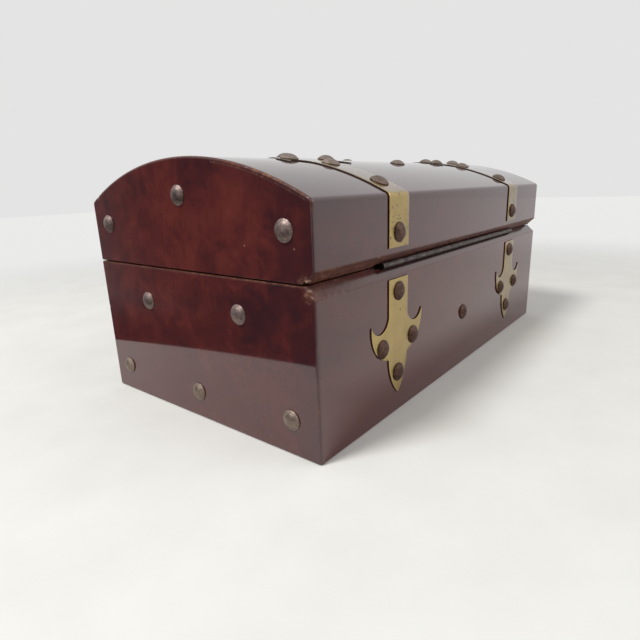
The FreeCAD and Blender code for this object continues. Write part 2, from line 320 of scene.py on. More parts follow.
def lacquered(name, along, wear):
    """Gloss lacquer on the outer skin and stained wood inside.

    wear gives, at a point, its depth under the lacquered faces, its distance past the rubbed part of the nearest
    edge, how far the gloss is rubbed matt there, how far the colour is darkened, partly as painted shade, and where
    bare wood shows at knocked corners and small specks, painted pale at the corners as a highlight.
    """
    material, place, join = finish(name, IOR=lacquer_index)
    depth, edge, matt, shade, chip_and_highlight = wear(place)
    ragged = place.noise(420.0, 4.0, 0.7)
    skin = 1 - (depth - ragged * 0.3 * mm).step(0.35 * mm, 0.55 * mm)
    worn = 1 - (edge + (0.5 - ragged) * 1.2 * mm).step(-0.25 * mm, 0.30 * mm)
    lacquer = skin * (1 - worn) * (1 - matt) * (1 - chip_and_highlight)
    grain = wood_grain(place, along)
    stained = grain.ramp((0.30, (0.075, 0.030, 0.016)), (0.50, (0.165, 0.075, 0.040)),
                         (0.72, (0.270, 0.145, 0.080)))
    fresh = (grain * 0.45 + ragged * 0.55).ramp((0.38, (0.032, 0.010, 0.006)), (0.50, (0.100, 0.032, 0.019)),
                                                (0.64, (0.24, 0.122, 0.077)))
    # Painted highlight: where bare wood shows at the knocked corners it is blended to a pale tan.
    wood = depth.step(0.9 * mm, 1.8 * mm).blend(chip_and_highlight.blend(fresh, (0.40, 0.27, 0.20)), stained)
    ripple = place.noise(45.0, 2.0, 0.5)
    smears = place.noise(60.0, 4.0, 0.6, 1.5)
    relief = ripple * 0.012 + lacquer * 0.04 + grain * (1 - lacquer) * 0.15
    surface = relief.bump(0.35, 1.0 * mm)
    gloss = smears * 0.06 + (1 - edge.step(0.0, 1.2 * mm)) * 0.30 + matt * 0.5 + 0.02
    coat = join(Base_Color=mottled(place, shade), Roughness=gloss, Normal=surface)
    bare = place.node("BsdfPrincipled", {}, {"Base Color": wood, "Roughness": 0.55, "Specular IOR Level": 0.15,
                                             "Normal": surface})
    both = place.node("MixShader", {}, {0: lacquer, 1: bare, 2: coat})
    material.node_tree.links.new(both.socket, material.node_tree.nodes["Material Output"].inputs["Surface"])
    return material


def chipped_highlight(place, middle, way):
    """A short sliver on the near end, painted pale as a highlight on bare wood, about a middle and along a direction
    in (y, z): 1 inside and 0 outside.
    """
    y, z = place.axis(1) - middle[0] * mm, place.axis(2) - middle[1] * mm
    along, across = abs(y * way[0] + z * way[1]), abs(z * way[0] - y * way[1])
    ragged = place.noise(900.0, 3.0, 0.7) * 0.8 * mm
    inside = 1 - (along * 0.35).most(across).step(0.1 * mm, 0.8 * mm - ragged * 0.5)
    return inside * place.axis(0).step(half_length - 3.0 * mm, half_length - 1.5 * mm)


def scuffed(place, middle, stretch):
    """Lacquer knocked off round a corner: 1 near the middle and 0 away from it, with a ragged border."""
    away = away_from(place, middle, stretch) + place.noise(600.0, 4.0, 0.7) * 7.0 * mm - 5.0 * mm
    return 1 - away.step(-1.6 * mm, 1.8 * mm)


def dusky(y, side):
    """How far an end's colour is darkened: most towards its outline, and more at the back."""
    return (1 - side.step(1.0 * mm, 18.0 * mm)) * (y.step(0.0, 70.0 * mm) * 0.35 + 0.05) + 0.15


rim_rub = 0.50 * mm
corner_rub = 0.36 * mm
groove_rub = 0.30 * mm


def base_wear(place):
    """Rubbed lines along the top of the ends and, fainter, down the corners; the groove's side is matt at the near
    end and darkened under the hinge as painted shade.
    """
    x, y, z = place.axis(0), place.axis(1), place.axis(2)
    end, side, rim = half_length - abs(x), half_width - abs(y), base_height - z
    chamfer = (groove_edge + base_height - y - z) * math.sqrt(0.5)
    edge = (end + rim - rim_rub).least(end + side - corner_rub).least(end + chamfer - groove_rub)
    in_groove = 1 - chamfer.step(0.1 * mm, 0.6 * mm)
    matt = in_groove * (x.step(105.0 * mm, half_length) * 0.40 + 0.15)
    matt = matt.most(scuffed(place, (half_length, 77.0 * mm, 74.3 * mm), (1.0, 0.9, 0.7)))
    # Painted highlight: a pale sliver on the knocked corner at the top of the groove.
    chip_and_highlight = chipped_highlight(place, (77.2, 75.6), (0.85, -0.52)) * 0.8
    # Painted shade: the groove's side under the hinge's barrel is darkened towards a dark purple-brown.
    painted_shade_under_hinge = (1 - y.step(77.6 * mm, 78.8 * mm)) * (1 - x.step(90.0 * mm, 110.0 * mm))
    shade = ((1 - end.step(0.5 * mm, 2.5 * mm)) * dusky(y, side)).most(in_groove * painted_shade_under_hinge)
    return end.least(side).least(chamfer), edge, matt, shade, chip_and_highlight


base_long_lacquer = lacquered("base lacquer along the box", 0, base_wear)
base_end_lacquer = lacquered("base lacquer across the box", 1, base_wear)


def back_section(recess):
    """The back wall's section: a rebate for the floor, a chamfer above and a recess for the hinge's leaf."""
    return rounded(
        [(floor_edge, 0), (floor_edge, floor_top), (inner_width, floor_top), (inner_width, base_height),
         (recess_edge, base_height), (recess_wall, base_height - recess),
         (groove_edge + recess, base_height - recess), (half_width, base_height - groove_chamfer), (half_width, 0)],
        [0, 0, 0, inner_round, 0, 0, inner_round, groove_round, edge_round])


front_section = rounded(
    [(-floor_edge, 0), (-floor_edge, floor_top), (-inner_width, floor_top), (-inner_width, base_height),
     (-half_width, base_height), (-half_width, 0)],
    [0, 0, 0, rim_round, rim_round, edge_round])
back_rings = [(-board_end, 0), (-recess_reach, 0), (-recess_reach, recess_depth),
              (recess_reach, recess_depth), (recess_reach, 0), (board_end, 0)]
piece("base_back_wall_board", *loft([at_x(back_section(depth), x) for x, depth in back_rings]),
      [base_long_lacquer], "base", "lacquered_wood", ["base_back_wall"])
piece("base_front_wall_board", *loft([at_x(front_section, x) for x in (-board_end, board_end)]),
      [base_long_lacquer], "base", "lacquered_wood", ["base_front_wall"])


rim_share = 0.45
chamfer_share = 0.6
edge_spacing = 0.8 * mm
lip_points, round_points = 5, 6
face_insets = np.array([0.3, 0.8, 1.4, 2.1, 2.9, 3.8, 10.0]) * mm


def base_outline(reach, foot, chamfer, inset=0.0):
    """An end's outline drawn in by the inset: five corners, with the groove's chamfer at the upper back."""
    side, low, top = reach - inset, foot + inset, base_height - inset * rim_share
    slope = max(chamfer - inset * chamfer_share, groove_round)
    return rounded([(-side, low), (side, low), (side, top - slope), (side - slope, top), (-side, top)],
                   [edge_round, edge_round, groove_round, rim_round, rim_round])


def end_rings(tongue, outline):
    """Rings of an end board from the inside out: the tongue, the lip's edge, its rounding, and the flat face."""
    turn = np.linspace(0, math.pi / 2, round_points)
    run = np.linspace(board_end, half_length - edge_round, lip_points)
    insets = np.concatenate([np.zeros(len(run)), edge_round * (1 - np.cos(turn[1:])),
                             edge_round + face_insets])
    places = np.concatenate([run, half_length - edge_round * (1 - np.sin(turn[1:])),
                             np.full(len(face_insets), half_length)])
    rings = [at_x(tongue, inner_length), at_x(tongue, board_end)]
    return rings + [at_x(outline(inset), x) for inset, x in zip(insets, places)]


def denser(rings, spacing):
    """Adds points along the long runs of every ring, at the same shares of each."""
    rings = np.array(rings)
    closed = np.concatenate([rings, rings[:, :1]], axis=1)
    longest = np.linalg.norm(np.diff(closed, axis=1), axis=-1).max(0)
    parts = np.maximum(1, np.ceil(longest / spacing)).astype(int)
    places = np.concatenate([first + np.arange(count) / count for first, count in enumerate(parts)])
    low = places.astype(int)
    share = (places - low)[:, None]
    return closed[:, low] * (1 - share) + closed[:, low + 1] * share


def knocked(vertices, knocks):
    """Wood knocked off: round each place the surface sinks inwards, most at the middle, with a ragged border."""
    for middle, reach, depth, inwards in knocks:
        away = vertices - np.array(middle) * mm
        coarse = np.sin(away @ (1900.0, 1300.0, 2300.0))
        fine = np.sin(away @ (-3100.0, 2700.0, 4100.0))
        ragged = 1 + 0.30 * coarse + 0.22 * fine
        fall = np.clip(1 - np.linalg.norm(away, axis=1) / (reach * mm * ragged), 0, 1) ** 0.6
        way = np.array(inwards) / np.linalg.norm(inwards)
        vertices = vertices + depth * mm * fall[:, None] * way
    return vertices


base_knocks = [((147, 77.8, 75.2), 1.6, 0.7, (-1, -0.4, -0.4)), ((147, 75.8, 76.6), 1.2, 0.5, (-1, 0, -1)),
               ((147, 80, 33.5), 0.9, 0.3, (-1, -1, 0)), ((147, -80, 50.0), 1.0, 0.3, (-1, 1, 0))]
for name, end in (("right", 1), ("left", -1)):
    tongue = base_outline(inner_width, floor_top, rim_round * 2)
    rings = end_rings(tongue, lambda inset: base_outline(half_width, 0, groove_chamfer, inset))
    vertices, faces = loft(denser(rings, edge_spacing))
    piece("base_" + name + "_end_board", knocked(vertices, base_knocks) * (end, 1, 1), faces, [base_end_lacquer],
          "base", "lacquered_wood", ["base_" + name + "_end"], sharp=25.0)


# Rails of the lid
# Long boards under the two edges of the dome, with the lid's half of the hinge groove along the back one.
# They are lacquered with the dome in one coat, so that no joint shows outside.

lid_low, lid_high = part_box("lid_right_end")
lid_bottom, crown = lid_low.z, lid_high.z
shoulder_radius = 2.5 * mm
dome_rise = 19.6 * mm
dome_thickness = 8.0 * mm
glue_line = 0.1 * mm
dome_radius = (half_width ** 2 + dome_rise ** 2) / (2 * dome_rise)
dome_centre = crown - dome_radius
strap_low, strap_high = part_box("lid_strap_right")
strap_x = (strap_low.x + strap_high.x) / 2
half_strap = 9.2 * mm


def lid_wear(place):
    """A rubbed line round the arch, wider towards the back, with scratches beside it; the groove's side is matt."""
    x, y, z = place.axis(0), place.axis(1), place.axis(2)
    end = half_length - abs(x)
    dome = dome_radius - place.scaled((0.0, 1.0, 1.0)).distance((0.0, 0.0, dome_centre))
    side = dome.least(half_width - abs(y))
    chamfer = (z - y + (groove_edge - lid_bottom)) * math.sqrt(0.5)
    above = z.step(lid_bottom + 24 * mm, lid_bottom + 32 * mm)
    edge = end + side - above * (y.step(0.0, 60.0 * mm) * 0.22 + 0.32) * mm - 0.24 * mm
    edge = edge.least(end + chamfer - groove_rub)
    wander = place.noise(60.0, 1.0) * 0.5 * mm
    scratch = abs(side - 1.5 * mm - wander) + end + (1 - above * y.step(5 * mm, 25 * mm))
    matt = (1 - chamfer.step(0.1 * mm, 0.6 * mm)) * (abs(x).step(40.0 * mm, 140.0 * mm) * 0.45 + 0.4)
    matt = matt.most(scuffed(place, (half_length, 75.0 * mm, 79.2 * mm), (1.0, 0.6, 0.9)))
    specks = away_from(place, (100.5 * mm, half_width, lid_bottom + groove_chamfer), (0.4, 1.0, 1.0))
    for across, up in ((42.5, 91.8), (70.4, 91.7)):
        specks = specks.least(place.distance((half_length, across * mm, up * mm)))
    # Painted highlight: a pale sliver on the knocked lower back corner; the pale specks are real marks.
    chip_and_highlight = (chipped_highlight(place, (75.9, 79.5), (0.97, 0.24)) * 0.9).most((1 - specks.step(0.2 * mm, 0.7 * mm)) * 0.6)
    # Painted shade: on the back of the lid the lacquer along each strap's edges is darkened, as if shaded by the
    # strap.
    beside_strap = (abs(abs(x) - strap_x) - half_strap).step(0.3 * mm, 1.6 * mm)
    painted_shade = (1 - beside_strap) * (y.step(34.0 * mm, 38.0 * mm) * z.step(strap_low.z - 1 * mm, strap_low.z))
    flank = end.step(0.5 * mm, 2.5 * mm)
    along_box = z.step(95.0 * mm, 118.0 * mm) * 0.55 + 0.15
    shade = ((1 - flank) * dusky(y, side) + flank * along_box).most(painted_shade * 0.8)
    return end.least(side).least(chamfer), edge.least(scratch + 0.02 * mm), matt, shade, chip_and_highlight


lid_long_lacquer = lacquered("lid lacquer along the box", 0, lid_wear)
lid_end_lacquer = lacquered("lid lacquer across the box", 1, lid_wear)


def under_dome(y):
    """Height of the dome panel's underside over y: a circle about the dome's axis."""
    return dome_centre + np.sqrt((dome_radius - dome_thickness) ** 2 - np.square(y))


seam_points = 8
seam_y = np.linspace(half_width, inner_width, seam_points)
seam = np.column_stack([seam_y, under_dome(seam_y) + np.linspace(0.02, -0.1, seam_points) * mm])


def rail_foot(recess, chamfer):
    """The lower edge of a rail, from the inside out: leaf recess, rim and chamfer."""
    return [(inner_width, lid_bottom), (recess_edge, lid_bottom), (recess_wall, lid_bottom + recess),
            (half_width - chamfer + recess, lid_bottom + recess), (half_width, lid_bottom + chamfer)]


back_rail_rings = [at_x(np.vstack([rail_foot(depth, groove_chamfer), seam]), x) for x, depth in back_rings]
piece("lid_back_rail_board", *loft(back_rail_rings), [lid_long_lacquer], "lid", "lacquered_wood",
      ["lid_back_rail"])
front_rail = np.vstack([rail_foot(0, rim_round), seam]) * (-1, 1)
piece("lid_front_rail_board", *loft([at_x(front_rail, x) for x in (-board_end, board_end)]),
      [lid_long_lacquer], "lid", "lacquered_wood", ["lid_front_rail"])


# Domed panel of the lid
# One curved panel, bent over the rails and glued to them, with rounded shoulders above the long walls.
# The lacquer on it mirrors what stands on the lid.


shoulder_points, dome_points, under_points = 9, 97, 49


def arch(wall, radius, shoulder, foot):
    """The lid's upper line from the back wall's foot to the front's: wall, shoulder arc, dome arc and back."""
    round_y = wall - shoulder
    round_z = dome_centre + math.sqrt((radius - shoulder) ** 2 - round_y ** 2)
    lean = math.atan2(round_y, round_z - dome_centre)
    turn = np.linspace(math.pi / 2, lean, shoulder_points)
    bend = np.column_stack([round_y + shoulder * np.sin(turn), round_z + shoulder * np.cos(turn)])
    side = np.array([(wall, foot), (wall, round_z - flat_rest)])
    swing = np.linspace(lean, -lean, dome_points)[1:-1]
    dome = np.column_stack([radius * np.sin(swing), dome_centre + radius * np.cos(swing)])
    mirror = (-1, 1)
    return np.vstack([side, bend, dome, (bend * mirror)[::-1], (side * mirror)[::-1]])


panel_foot = float(under_dome(half_width))
under_radius = dome_radius - dome_thickness
under_lean = math.asin(half_width / under_radius)
under_swing = np.linspace(-under_lean, under_lean, under_points)[1:-1]
underside = np.column_stack([under_radius * np.sin(under_swing), dome_centre + under_radius * np.cos(under_swing)])
panel = np.vstack([arch(half_width, dome_radius, shoulder_radius, panel_foot), underside])
piece("lid_dome_panel", *loft([at_x(panel, x) for x in (-board_end, board_end)]),
      [lid_long_lacquer], "lid", "lacquered_wood", ["lid_dome"])


# Arched ends of the lid
# One board each, sawn to the arch, lapped over the ends of the rails and of the dome panel.
# The arched edge is eased and rubbed bright, and the lower back corner is knocked off.


least_shoulder = 0.3 * mm
least_slope = 0.5 * mm


def lid_outline(wall, radius, shoulder, chamfer, inset=0.0):
    """An end's outline drawn in by the inset: the arch above and the groove's chamfer at the lower back."""
    side, foot = wall - inset, lid_bottom + inset * rim_share
    slope = max(chamfer - inset * chamfer_share, least_slope)
    upper = arch(side, radius - inset, max(shoulder - inset, least_shoulder), foot + slope)
    upper[-1] = (-side, foot + rim_round)
    lower = [(-side + rim_round * 0.3, foot + rim_round * 0.3), (-side + rim_round, foot),
             (-side + rim_round + flat_rest, foot), (side - slope, foot)]
    return np.vstack([upper, lower])


lid_knocks = [((147, 74.6, 77.8), 2.2, 1.2, (-0.7, -0.2, 1)), ((147, 77.4, 79.8), 1.5, 0.7, (-1, -0.5, 0.5)),
              ((147, 62.0, 118.4), 1.0, 0.3, (-1, 0, -1)),
              ((147, -74.0, 112.8), 1.2, 0.3, (-1, 0, -1)), ((147, 47.0, 123.4), 1.0, 0.3, (-1, 0, -1))]
for name, end in (("right", 1), ("left", -1)):
    tongue = lid_outline(inner_width, under_radius - glue_line, least_shoulder, rim_round)
    rings = end_rings(tongue, lambda inset: lid_outline(half_width, dome_radius, shoulder_radius, groove_chamfer,
                                                        inset))
    vertices, faces = loft(denser(rings, edge_spacing))
    knocks = lid_knocks if end > 0 else lid_knocks[1:]
    piece("lid_" + name + "_end_board", knocked(vertices, knocks) * (end, 1, 1), faces, [lid_end_lacquer], "lid",
          "lacquered_wood", ["lid_" + name + "_end"], sharp=25.0)


# Piano hinge
# Two long leaves let into the rims, their knuckles interleaved on one wire pin, held by countersunk screws.
# The plating has gone dull and speckled. Its ends are painted dark as shade, and on the outer side the barrel's lower
# half is darkened as painted shade and a thin dark line near its top is a painted reflection.

pin_low, pin_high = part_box("hinge_pin")
hinge_end = pin_high.x
hinge_plate, place, join = finish("dull hinge plating", Metallic=0.85)
specks = place.noise(900.0, 3.0, 0.7)
tarnish = place.scaled((0.5, 1.0, 1.0)).noise(320.0, 5.0, 0.7)
dull = tarnish.ramp((0.35, (0.036, 0.028, 0.026)), (0.52, (0.118, 0.096, 0.089)), (0.70, (0.28, 0.24, 0.225)))
# Painted shade and reflection: the last 0.4 mm of each end, the barrel's lower half on the outer side and a thin line
# near its top are blended to near black, along with the real dark specks.
dark_end = abs(place.axis(0)).step(hinge_end - 0.4 * mm, hinge_end)
height = place.axis(2) - (pin_low.z + pin_high.z) / 2
outside = place.axis(1).step(75.4 * mm, 76.0 * mm)
lower_half = 1 - height.step(-0.40 * mm, 0.10 * mm)
upper_line = 1 - abs(height - 0.70 * mm).step(0.08 * mm, 0.28 * mm)
painted_shade = lower_half.most(upper_line) * outside
specks_and_painted_shade = dark_end.most(specks.step(0.60, 0.68) * 0.8).most(painted_shade * 0.75)
join(Base_Color=specks_and_painted_shade.blend(dull, (0.020, 0.013, 0.012)),
     Roughness=tarnish * 0.3 + 0.30,
     Normal=specks.bump(0.3, 0.1 * mm))
for node in ("hinge_base_leaf", "hinge_lid_leaf", "hinge_pin", "hinge_base_screws", "hinge_lid_screws"):
    dress(node, hinge_plate)


# Brass plates of the base
# Sheet brass, sawn to a straight stem that ends in two hooked arms and a leaf, nailed flat to the back wall.
# Their faces are rubbed pale and spotted, and the sawn edges are painted nearly black as shade, paler high on the
# lid.

plate_low, plate_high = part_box("base_plate_right")
arm_reach = (plate_high.x - plate_low.x) / 2
plate_thickness = plate_high.y - half_width
ornament_length = 40.5 * mm
ornament_root = 1.02 * ornament_length
stem_columns, arm_rows, arm_columns = 11, 18, 9

strap_brass, place, join = finish("rubbed brass", Metallic=1.0, Coat_Weight=1.0, Coat_Roughness=0.12,
                                  Specular_Tint=(0.2, 0.24, 0.5, 1.0))
cloud = place.noise(90.0, 4.0, 0.6, 0.5)
brushed = place.scaled((1.0, 0.3, 0.3)).noise(1500.0, 2.0, 0.5)
up = place.axis(2)
spots = (place.noise(520.0, 2.0, 0.5) + up.step(20.0 * mm, 100.0 * mm) * 0.05).step(0.69, 0.75)
pitted = up.step(80.0 * mm, 84.0 * mm) * (1 - up.step(102.0 * mm, 109.0 * mm))
spots = spots.most(place.noise(800.0, 2.0, 0.5).step(0.62, 0.67) * pitted * 0.85)
join(Base_Color=spots.blend(cloud.ramp((0.3, (0.43, 0.295, 0.074)), (0.7, (0.52, 0.370, 0.106))),
                            (0.10, 0.065, 0.035)),
     Roughness=cloud * 0.2 + brushed * 0.05 + spots * 0.2 + 0.24,
     Normal=(cloud * 0.4 + brushed * 0.01).bump(0.10, 0.5 * mm))
# Painted shade: the sawn edges are near black, paler from 110 to 119 mm up.
shaded_edge_brass, place, join = finish("brass edge in painted shade", Metallic=0.6)
cloud = place.noise(300.0, 3.0)
painted_edge_shade = cloud.ramp((0.3, (0.016, 0.011, 0.009)), (0.7, (0.048, 0.034, 0.024)))
join(Base_Color=place.axis(2).step(110.0 * mm, 119.0 * mm).blend(painted_edge_shade, (0.080, 0.070, 0.058)),
     Roughness=cloud * 0.2 + 0.5)


def through(start, middle, end, count):
    """Points along the circle's arc that runs from start through middle to end."""
    start, middle, end = (np.array(p, float) for p in (start, middle, end))
    rows = 2 * np.array([middle - start, end - start])
    centre = np.linalg.solve(rows, [middle @ middle - start @ start, end @ end - start @ start])
    angle = [math.atan2(*(p - centre)[::-1]) for p in (start, middle, end)]
    turn = (angle[2] - angle[0]) % (2 * math.pi)
    if (angle[1] - angle[0]) % (2 * math.pi) > turn:
        turn -= 2 * math.pi
    swing = angle[0] + turn * np.linspace(0, 1, count)
    return centre + np.linalg.norm(start - centre) * np.column_stack([np.cos(swing), np.sin(swing)])


def grid_faces(rows, columns, start):
    """Quads over a grid of points numbered row by row from start."""
    index = np.arange(rows * columns).reshape(rows, columns) + start
    return np.stack([index[:-1, :-1], index[:-1, 1:], index[1:, 1:], index[1:, :-1]], axis=-1).reshape(-1, 4)


def ornament(stem):
    """The flat sheet, tip at the origin: rows across leaf, neck and stem, and two arms as ruled bands.

    The leaf's half width follows an arc from the tip; an arm is ruled between its outer and its inner arc, and
    starts on the neck's edge, whose rows it shares.
    """
    shoulder = 0.50 * ornament_length
    foot, hook = (half_strap, shoulder), (arm_reach, ornament_length)
    leaf = through((0, 0), (0.75 * half_strap, 0.24 * ornament_length), foot, 14)
    outer = through(foot, (0.845 * arm_reach, 0.66 * ornament_length), hook, arm_rows)
    notch_x = half_strap + 0.48 * (arm_reach - half_strap)
    inner = through((half_strap, ornament_root), (notch_x, 0.87 * ornament_length), hook, arm_rows)
    share = np.linspace(0, 1, arm_columns)
    neck = shoulder + share[1:] * (ornament_root - shoulder)
    along = np.concatenate([leaf[:, 1], neck, stem])
    half = np.concatenate([leaf[:, 0], np.full(len(neck) + len(stem), half_strap)])
    columns = np.linspace(-1, 1, stem_columns)
    middle = np.stack(np.broadcast_arrays(half[:, None] * columns, along[:, None]), axis=-1)
    arm = outer[:, None] + share[:, None] * (inner - outer)[:, None]
    points = [middle.reshape(-1, 2), arm.reshape(-1, 2), (arm * (-1, 1)).reshape(-1, 2)]
    faces = [grid_faces(len(along), stem_columns, 0)]
    for side in (1, 2):
        faces.append(grid_faces(arm_rows, arm_columns, sum(len(p) for p in points[:side])))
    return np.vstack(points), np.vstack(faces).tolist()


def thicken(thing, thickness):
    """Gives a sheet its thickness outwards, with the sawn edge in the second material, slightly eased."""
    sheet = thing.modifiers.new("thickness", "SOLIDIFY")
    sheet.thickness = thickness
    sheet.offset = 1.0
    sheet.use_even_offset = True
    sheet.material_offset_rim = 1
    ease = thing.modifiers.new("eased edge", "BEVEL")
    ease.width = 0.12 * mm
    ease.segments = 2
    ease.limit_method = "ANGLE"
    ease.angle_limit = math.radians(50.0)


plate_stem = np.linspace(ornament_root, plate_high.z - plate_low.z, 5)[1:]
flat, faces = ornament(plate_stem)
for name, side in (("right", 1), ("left", -1)):
    vertices = np.column_stack([side * strap_x + flat[:, 0], np.full(len(flat), half_width),
                                plate_low.z + flat[:, 1]])
    thing = piece("base_plate_" + name + "_brass", vertices, faces, [strap_brass, shaded_edge_brass], "base",
                  "strap_brass", ["base_plate_" + name], outward=(0, 1, 0))
    thicken(thing, plate_thickness)


# Brass straps of the lid
# The same sheet brass and ornament, bent over the dome and its shoulder and down the lid's back wall.
# The leaf ends just past the crown.

strap_thickness = strap_high.y - half_width
strap_bedding = 0.05 * mm
strap_line = arch(half_width + strap_bedding, dome_radius + strap_bedding, shoulder_radius + strap_bedding,
                  strap_low.z)


def over_lid(along):
    """Follows the lid's section from the leaf's tip: by its span in y on the dome, then by length to the foot."""
    tip = strap_low.y
    y = tip + np.minimum(along, ornament_root)
    radius = dome_radius + strap_bedding
    z = dome_centre + np.sqrt(radius ** 2 - y ** 2)
    root = tip + ornament_root
    start = np.array([root, dome_centre + math.sqrt(radius ** 2 - root ** 2)])
    path = np.vstack([start, strap_line[strap_line[:, 0] > start[0]][::-1]])
    length = np.concatenate([[0], np.cumsum(np.linalg.norm(np.diff(path, axis=0), axis=1))])
    past = np.maximum(along - ornament_root, 0)
    bent = np.column_stack([np.interp(past, length, path[:, 0]), np.interp(past, length, path[:, 1])])
    return np.where((along > ornament_root)[:, None], bent, np.column_stack([y, z])), length


lengths = over_lid(np.zeros(1))[1]
strap_stem = ornament_root + lengths[1:]
flat, faces = ornament(strap_stem)
for name, side in (("right", 1), ("left", -1)):
    vertices = np.column_stack([side * strap_x + flat[:, 0], over_lid(flat[:, 1])[0]])
    thing = piece("lid_strap_" + name + "_brass", vertices, faces, [strap_brass, shaded_edge_brass], "lid",
                  "strap_brass", ["lid_strap_" + name], outward=(0, 1, 1))
    thicken(thing, strap_thickness - strap_bedding)


# Domed tacks
# Pressed nails with a shallow domed head and a thin rim, driven in by hand, so that no two heads are quite alike.
# Those on the ends have worn to a pewter grey, and those on the back and the lid are dark brown. The low ones on the
# ends are painted paler as a reflection of the floor, and the high ones on the lid paler as light from above.

tack_radius = 4.75 * mm
tack_height = 2.5 * mm
tack_rim = 0.4 * mm
shank_radius = 0.9 * mm
shank_length = 7.0 * mm
shank_point = 2.0 * mm
rim_ease = 0.15 * mm
dent_depth = 0.10 * mm
head_points, head_rows, dents = 40, 14, 3
rng = np.random.default_rng(7)


def tack_finish(name, tones, rubbed, start, full, roughness):
    """Cast metal with pits, in a dark, a middle and a light tone, and in paler rubbed tones, which are painted light,
    from one height to another.
    """
    material, place, join = finish(name, Metallic=0.85)
    cloud = place.noise(190.0, 4.0, 0.65)
    pits = place.noise(1100.0, 3.0, 0.6)
    mixed, stops = cloud * 0.5 + pits * 0.5, (0.32, 0.50, 0.68)
    cast, paler = mixed.ramp(*zip(stops, tones)), mixed.ramp(*zip(stops, rubbed))
    join(Base_Color=place.axis(2).step(start * mm, full * mm).blend(cast, paler),
         Roughness=cloud * 0.25 + pits * 0.15 + roughness,
         Normal=(cloud * 0.6 + pits * 0.25).bump(0.25, 0.25 * mm))
    return material


# Painted reflection: the end tacks below 40 mm turn paler and warmer, as if mirroring the floor.
pewter = tack_finish("worn pewter tack", ((0.070, 0.050, 0.045), (0.205, 0.148, 0.132), (0.35, 0.275, 0.250)),
                     ((0.115, 0.088, 0.068), (0.245, 0.185, 0.147), (0.37, 0.300, 0.250)), 40.0, 20.0, 0.29)
# Painted light: the lid's tacks above 106 mm turn paler, as if lit from above.
bronze = tack_finish("dark bronze tack", ((0.029, 0.0150, 0.011), (0.080, 0.042, 0.031), (0.165, 0.102, 0.077)),
                     ((0.110, 0.083, 0.067), (0.195, 0.155, 0.130), (0.28, 0.23, 0.20)), 106.0, 126.0, 0.30)


def tack_heads(seats, outwards):
    """A surface of revolution for each seat, as one grid per tack: point, shank, underside, rim and dome.

    The dome is an arc of a circle with a faint groove inside the rim, and shallow dents made of three low waves
    round the head, drawn afresh for each tack.
    """
    around = np.linspace(0, 2 * math.pi, head_points + 1)[:-1]
    cap = tack_height - tack_rim
    sphere = (tack_radius ** 2 + cap ** 2) / (2 * cap)
    dome_r = tack_radius * np.sin(np.linspace(math.pi / 2, 0, head_rows))
    dome_h = tack_rim + np.sqrt(sphere ** 2 - dome_r ** 2) - (sphere - cap)
    dome_h -= dent_depth * np.exp(-((dome_r / tack_radius - 0.84) / 0.06) ** 2)
    stem_r = np.array([0, shank_radius, shank_radius, tack_radius - rim_ease, tack_radius])
    stem_h = np.array([-shank_length, shank_point - shank_length, 0, 0, rim_ease])
    radius, height = np.concatenate([stem_r, dome_r]), np.concatenate([stem_h, dome_h])
    seats, outwards = np.array(seats, float), np.array(outwards, float)
    count = len(seats)
    phase = rng.uniform(0, 2 * math.pi, (count, dents, 1, 1))
    depth = rng.uniform(0.3, 1.0, (count, dents, 1, 1)) * dent_depth
    order = np.arange(1, dents + 1)[None, :, None, None]
    swell = (np.clip(height, 0, None) / tack_height)[None, None, :, None]
    share = (radius / tack_radius)[None, None, :, None]
    waves = (depth * np.cos(order * around[None, None, None] + phase) * share * swell).sum(1)
    lift = np.minimum(height[None, :, None] + waves - dent_depth / 2 * swell[:, 0], tack_height)
    helper = np.where(np.abs(outwards[:, :1]) > 0.9, [[0.0, 0.0, 1.0]], [[1.0, 0.0, 0.0]])
    side = np.cross(helper, outwards)
    side /= np.linalg.norm(side, axis=1, keepdims=True)
    up = np.cross(outwards, side)
    turn = rng.uniform(0, 2 * math.pi, (count, 1))
    ring = (np.cos(around + turn)[..., None] * side[:, None] + np.sin(around + turn)[..., None] * up[:, None])
    points = (seats[:, None, None] + radius[None, :, None, None] * ring[:, None]
              + lift[..., None] * outwards[:, None, None])
    rows, columns = len(radius), len(around)
    index = np.arange(rows * columns).reshape(rows, columns)
    turned = np.roll(index, -1, axis=1)
    quads = np.stack([index[:-1], turned[:-1], turned[1:], index[1:]], axis=-1).reshape(-1, 4)
    faces = (quads[None] + (np.arange(count) * rows * columns)[:, None, None]).reshape(-1, 4)
    return points.reshape(-1, 3), faces.tolist()


def on_dome(places, lift):
    """Seats on the dome over (x, y), standing off by the lift, and the dome's outward direction there."""
    places = np.array(places, float)
    lean = np.arcsin(places[:, 1] / dome_radius)
    outwards = np.column_stack([np.zeros(len(lean)), np.sin(lean), np.cos(lean)])
    middle = np.column_stack([places[:, 0], np.zeros(len(lean)), np.full(len(lean), dome_centre)])
    return middle + outwards * (dome_radius + lift), outwards


end_places = {"base": [(-65.6, 15.7), (0, 14.6), (64.1, 17.2), (-36.0, 58.6), (35.2, 60.7)],
              "lid": [(-65.6, 98.7), (0, 113.0), (65.6, 98.7)]}
for name, side in (("right", 1), ("left", -1)):
    for body, places in end_places.items():
        seats = [(side * half_length, y * mm, z * mm) for y, z in places]
        piece(body + "_" + name + "_end_tack_heads", *tack_heads(seats, [(side, 0, 0)] * len(seats)), [pewter],
              body, "tack_bronze", [body + "_" + name + "_end_tacks"])

